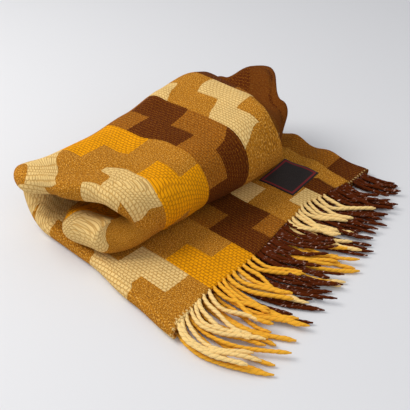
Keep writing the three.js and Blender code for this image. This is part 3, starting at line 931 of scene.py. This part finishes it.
class ThrowClothOperator(bpy.types.Operator):
    """Builds the folded cloth as a closed sheet with the stepped weave"""

    bl_idname = "object.throw_cloth"
    bl_label = "Cloth"

    def execute(self, context):
        route, points, layer, warp = cloth_grid()
        normals = grid_normals(points)
        half = size_of("cloth") / 2
        outer = points + normals * half
        u, warp, rolled, mode = weave_coordinates(route, points, outer, layer, warp)
        place = np.stack([u, warp, np.zeros_like(u)], -1)
        front = np.stack([np.ones_like(u), rolled, mode], -1)
        back = front * (0.0, 1.0, 1.0)
        inner = points - normals * half
        side_first = past_edge(points[:, :1], points[:, 1:2], ROUNDED_EDGE * half)
        side_last = past_edge(points[:, -1:], points[:, -2:-1], ROUNDED_EDGE * half)
        loop = np.concatenate([side_first, outer, side_last, inner[:, ::-1]], 1)
        loop[..., 2] = np.maximum(loop[..., 2], CLOTH_FLOOR)
        cloth = np.concatenate([place[:, :1], place, place[:, -1:], place[:, ::-1]], 1)
        rules = np.concatenate([front[:, :1], front, front[:, -1:], back[:, ::-1]], 1)
        rows, columns = loop.shape[:2]
        count = points.shape[1]
        faces = grid_faces(rows, columns, closed=True)
        across = np.arange(count - 1)
        first = np.stack([across + 1, across + 2, columns - 2 - across, columns - 1 - across], -1)
        last = (first + (rows - 1) * columns)[:, ::-1]
        faces = np.concatenate([faces, first, last])
        near = np.array([[0, 1, columns - 1], [count, count + 1, count + 2]])
        far = (near + (rows - 1) * columns)[:, ::-1]
        triangles = near.tolist() + far.tolist()
        places = to_scene(loop)
        fields = {"cloth": cloth, "rules": rules}
        made = make_object("throw_cloth", places, faces, cloth_material(), fields, triangles)
        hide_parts("blanket")
        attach(made, "root")
        return {"FINISHED"}


def bands_at(fringe, y):
    """The colour at every y: that of the last band that starts there or before."""
    starts = FRINGE_BANDS[fringe].items()
    return np.array([[colour for first, colour in starts if value >= first][-1] for value in y])


def hem_roots(points, layer, on_layer, y):
    """Where a fringe's strands leave the hem: the hem's row of that layer, looked up by y."""
    row = points[0][layer == on_layer]
    row = row[np.argsort(row[:, 1])]
    return np.stack([np.interp(y, row[:, 1], row[:, axis]) for axis in range(3)], -1)


def strand_paths(roots, lengths, sweeps, sags, rest, seed):
    """Middle lines of the strands, from the hem outward.

    A line runs along X for its length, sweeps to the right with the square of its share, sags to the left by
    a half sine, falls from its root to its resting height, and wanders by slow sines. Near the tips, strands
    lean together in tufts.
    """
    chance = np.random.default_rng(seed)
    count = len(roots)
    share = np.linspace(0.0, 1.0, STRAND_STEPS)[None, :]
    phase = chance.uniform(0, 2 * math.pi, (count, 2))[..., None]
    wander = chance.uniform(*WANDER_CHANCE, (count, 2))[..., None]
    bends = chance.uniform(*BENDS_CHANCE, (count, 1))
    tuft = np.arange(count) // STRANDS_IN_TUFT
    middle = np.bincount(tuft, roots[:, 1]) / np.bincount(tuft)
    middle = (middle + chance.uniform(*TUFT_CHANCE, len(middle)))[tuft]
    lean = (middle - roots[:, 1])[:, None] * eased(share, (0.25, 0.75))
    lean = lean * chance.uniform(*LEAN_CHANCE, (count, 1))
    x = roots[:, :1] + lengths[:, None] * share
    y = roots[:, 1:2] + sweeps[:, None] * lengths[:, None] * share**2 + lean
    y = y - sags[:, None] * np.sin(math.pi * share**0.8)
    y = y + wander[:, 0] * np.sin(share * bends + phase[:, 0]) * share
    z = roots[:, 2:3] + (rest - roots[:, 2:3]) * smooth(share * 1.6)
    lift = np.abs(wander[:, 1]) * 0.55 * smooth(share * 2) * (1 - share * 0.5)
    z = z + lift * np.sin(share * 5.0 + phase[:, 1]) ** 2
    return np.stack([x, y, np.maximum(z, STRAND_FLOOR)], -1)


def plied_tubes(paths, radii, turn, seed):
    """Strands as tubes with two plies, narrow at the tip.

    radius = r (0.80 + 0.20 |cos(angle - turning)|): two lobes that turn with the length travelled. It swells
    and thins by a slow sine, and narrows by 55 % in the last 7 % of the length.
    """
    chance = np.random.default_rng(seed + 100)
    count = len(paths)
    tangent = unit(np.gradient(paths, axis=1))
    side = unit(np.cross(tangent, np.array([0.0, 0.0, 1.0])))
    lift = np.cross(side, tangent)
    gone = travel(paths.swapaxes(0, 1)).T
    angle = np.linspace(0, 2 * math.pi, STRAND_SIDES, endpoint=False)[None, None, :]
    turning = (gone / turn * 2 * math.pi + chance.uniform(0, 6, (count, 1)))[..., None]
    lobe = np.abs(np.cos(angle - turning))
    share = np.linspace(0, 1, STRAND_STEPS)[None, :, None]
    end = 1 - 0.55 * eased(share, (0.93, 0.07))
    swell = 1 + 0.06 * np.sin(gone / 5.0 + chance.uniform(0, 6, (count, 1)))[..., None]
    radius = radii[:, None, None] * (0.80 + 0.20 * lobe) * end * swell
    ring = np.cos(angle)[..., None] * side[:, :, None] + np.sin(angle)[..., None] * lift[:, :, None]
    points = paths[:, :, None] + radius[..., None] * ring
    number = np.broadcast_to(np.arange(count)[:, None, None] * 17.0, lobe.shape)
    where = np.stack([np.broadcast_to(gone[..., None], lobe.shape), lobe, number], -1)
    return points, where


def tube_faces(count):
    """Quads of many tubes of the same grid, with quad fans that close both ends."""
    ring = np.arange(STRAND_SIDES)
    near = np.stack([ring[3::2] * 0, ring[1:-2:2], ring[2:-1:2], ring[3::2]], -1)
    far = (near + (STRAND_STEPS - 1) * STRAND_SIDES)[:, ::-1]
    one = np.concatenate([grid_faces(STRAND_STEPS, STRAND_SIDES, closed=True), near, far])
    return (one[None] + (np.arange(count) * STRAND_STEPS * STRAND_SIDES)[:, None, None]).reshape(-1, 4)


class ThrowFringeOperator(bpy.types.Operator):
    """Builds the three fringes as plied strands joined by colour"""

    bl_idname = "object.throw_fringe"
    bl_label = "Fringe"

    def execute(self, context):
        _, points, layer, _ = cloth_grid()
        materials = {
            "cream": yarn_material("Cream yarn", colour_of("cream"), 0.0),
            "mustard": yarn_material("Mustard yarn", colour_of("mustard_yarn"), 0.0),
            "dark": yarn_material("Dark yarn", colour_of("dark"), 0.9),
        }
        for name, on_layer, first, last, count, column, rest, seed in FRINGES:
            chance = np.random.default_rng(seed)
            y = np.linspace(first, last, count) + chance.uniform(*PLACE_CHANCE, count)
            # Dark yarn is thinner, and a second strand stands between every two.
            extra = y[bands_at(name, y) == "dark"] + (last - first) / (count - 1) / 2
            y = np.sort(np.concatenate([y, extra[extra < last]]))
            y = y[(y < FRINGE_GAP[0]) | (y > FRINGE_GAP[1])]
            bands = bands_at(name, y)
            roots = hem_roots(points, layer, on_layer, y)
            roots[:, 0] -= ROOT_DEPTH
            lengths = along(STRAND_LINE, y, column) * chance.uniform(*LENGTH_CHANCE, len(y))
            sweeps = along(STRAND_LINE, y, 3) + chance.uniform(*SWEEP_CHANCE, len(y))
            stray = chance.uniform(0.0, 1.0, len(y)) < STRAY_SHARE
            sweeps = sweeps + stray * chance.uniform(*STRAY_CHANCE, len(y))
            sags = along(STRAND_LINE, y, 4) * chance.uniform(*SAG_CHANCE, len(y))
            paths = strand_paths(roots, lengths, sweeps, sags, rest, seed)
            joined = None
            for colour, material in materials.items():
                own = bands == colour
                if not own.any():
                    continue
                radius = size_of("thin_strand" if colour == "dark" else "strand")
                radii = chance.uniform(*RADIUS_CHANCE, int(own.sum())) * radius
                tubes, where = plied_tubes(paths[own], radii, size_of("twist"), seed)
                faces = tube_faces(len(radii))
                made = make_object(name + "_" + colour, to_scene(tubes), faces, material, {"strand": where})
                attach(made, "root")
                joined = joined or made
            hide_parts(name)
        return {"FINISHED"}


class ThrowLabelOperator(bpy.types.Operator):
    """Builds the bare woven label lying on the top layer"""

    bl_idname = "object.throw_label"
    bl_label = "Label"

    def execute(self, context):
        _, points, layer, _ = cloth_grid()
        normals = grid_normals(points)
        top = (points + normals * CLOTH / 2)[:ROWS_UNDER_LABEL, layer == TOP]
        across = np.linspace(-0.5, 0.5, LABEL_STEPS)
        u, v = np.meshgrid(across * LABEL["length"], across * LABEL["width"], indexing="ij")
        x = LABEL["x"] + u * math.cos(LABEL["turn"]) - v * math.sin(LABEL["turn"])
        y = LABEL["y"] + u * math.sin(LABEL["turn"]) + v * math.cos(LABEL["turn"])
        # Its height is the mean of the cloth's points, weighed by 1 over the distance to the fourth.
        beside = top[None, None, ..., 0] - x[..., None, None]
        near = np.hypot(beside, top[None, None, ..., 1] - y[..., None, None])
        weight = 1 / (near + 0.5) ** 4
        z = (weight * top[None, None, ..., 2]).sum((-1, -2)) / weight.sum((-1, -2))
        ground = np.stack([x, y, z + LABEL["gap"]], -1)
        up = np.array([0.0, 0.0, LABEL["thick"]])
        inset = np.stack([u, v], -1) * LABEL_INSET
        lid = ground + up
        lid[..., :2] -= inset
        rows, columns = u.shape
        faces = grid_faces(rows, columns)
        points = np.concatenate([lid.reshape(-1, 3), ground.reshape(-1, 3)])
        number = np.arange(rows * columns).reshape(rows, columns)
        rim = np.concatenate([number[:, 0], number[-1, 1:], number[-2::-1, -1], number[0, -2:0:-1]])
        after = np.roll(rim, -1)
        wall = np.stack([rim, rim + rows * columns, after + rows * columns, after], -1)
        under = faces[:, ::-1] + rows * columns
        faces = np.concatenate([faces, under, wall])
        flat = np.stack([u, v, np.zeros_like(u)], -1).reshape(-1, 3)
        fields = {"weave": np.tile(flat, (2, 1))}
        made = make_object("throw_label", to_scene(points), faces, label_material(), fields)
        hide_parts("label")
        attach(made, "root")
        return {"FINISHED"}


def area_light(name, place, size, power, colour):
    data = bpy.data.lights.new(name, "AREA")
    data.shape = "DISK"
    data.size = size
    data.energy = power
    data.color = colour
    made = new_object(name, data)
    made.location = place
    made.rotation_euler = aim_angles(np.array(LIGHT_TARGET) - np.array(place))
    return made


def aim_angles(aim):
    """Euler angles that turn a light's or camera's own minus Z along aim, keeping it upright."""
    flat = math.hypot(aim[0], aim[1])
    return (math.atan2(flat, -aim[2]), 0.0, math.atan2(-aim[0], aim[1]))


class ThrowStageOperator(bpy.types.Operator):
    """Adds the pale floor, the soft lights and the camera at the photo's angle"""

    bl_idname = "object.throw_stage"
    bl_label = "Stage"

    def execute(self, context):
        corner = np.linspace(-FLOOR_HALF, FLOOR_HALF, 3)
        x, y = np.meshgrid(corner, corner, indexing="ij")
        material = bpy.data.materials.new("Studio floor")
        material.use_nodes = True
        surface = material.node_tree.nodes["Principled BSDF"]
        surface.inputs["Base Color"].default_value = colour_of("floor")
        surface.inputs["Roughness"].default_value = FLOOR_ROUGHNESS
        places = np.stack([x, y, np.full_like(x, FLOOR_Z)], -1)
        floor = make_object("floor", places, grid_faces(3, 3), material)
        key, fill = (area_light(*values) for values in LIGHTS)
        world = bpy.context.scene.world or bpy.data.worlds.new("World")
        bpy.context.scene.world = world
        world.use_nodes = True
        background = world.node_tree.nodes["Background"].inputs
        background["Color"].default_value = WORLD_COLOUR
        background["Strength"].default_value = WORLD_STRENGTH
        bpy.context.scene.view_settings.view_transform = "Standard"
        data = bpy.data.cameras.new("photo camera")
        data.angle = math.radians(CAMERA["view"])
        camera = new_object("photo camera", data)
        azimuth = math.radians(CAMERA["azimuth"])
        elevation = math.radians(CAMERA["elevation"])
        flat = math.cos(elevation)
        back = np.array([math.sin(azimuth) * flat, -math.cos(azimuth) * flat, math.sin(elevation)])
        camera.location = np.array(CAMERA_TARGET) + back * CAMERA["distance"]
        camera.rotation_euler = aim_angles(-back)
        bpy.context.scene.camera = camera
        return {"FINISHED"}


class ThrowPanel(bpy.types.Panel):
    """Lists the throw's pieces and stage"""

    bl_idname = "VIEW3D_PT_throw"
    bl_label = "Folded wool throw"
    bl_space_type = "VIEW_3D"
    bl_region_type = "UI"
    bl_category = "Throw"

    def draw(self, context):
        for operator in OPERATORS:
            self.layout.operator(operator.bl_idname)


OPERATORS = (ThrowClothOperator, ThrowFringeOperator, ThrowLabelOperator, ThrowStageOperator)
CLASSES = (ThrowSizes, ThrowColours) + OPERATORS + (ThrowPanel,)


def register():
    for one in CLASSES:
        bpy.utils.register_class(one)
    bpy.types.Scene.throw_sizes = bpy.props.PointerProperty(type=ThrowSizes)
    bpy.types.Scene.throw_colours = bpy.props.PointerProperty(type=ThrowColours)


def unregister():
    del bpy.types.Scene.throw_colours
    del bpy.types.Scene.throw_sizes
    for one in reversed(CLASSES):
        bpy.utils.unregister_class(one)


def main():
    register()
    bpy.ops.object.throw_cloth()
    bpy.ops.object.throw_fringe()
    bpy.ops.object.throw_label()
    bpy.ops.object.throw_stage()


if __name__ == "__main__":
    main()
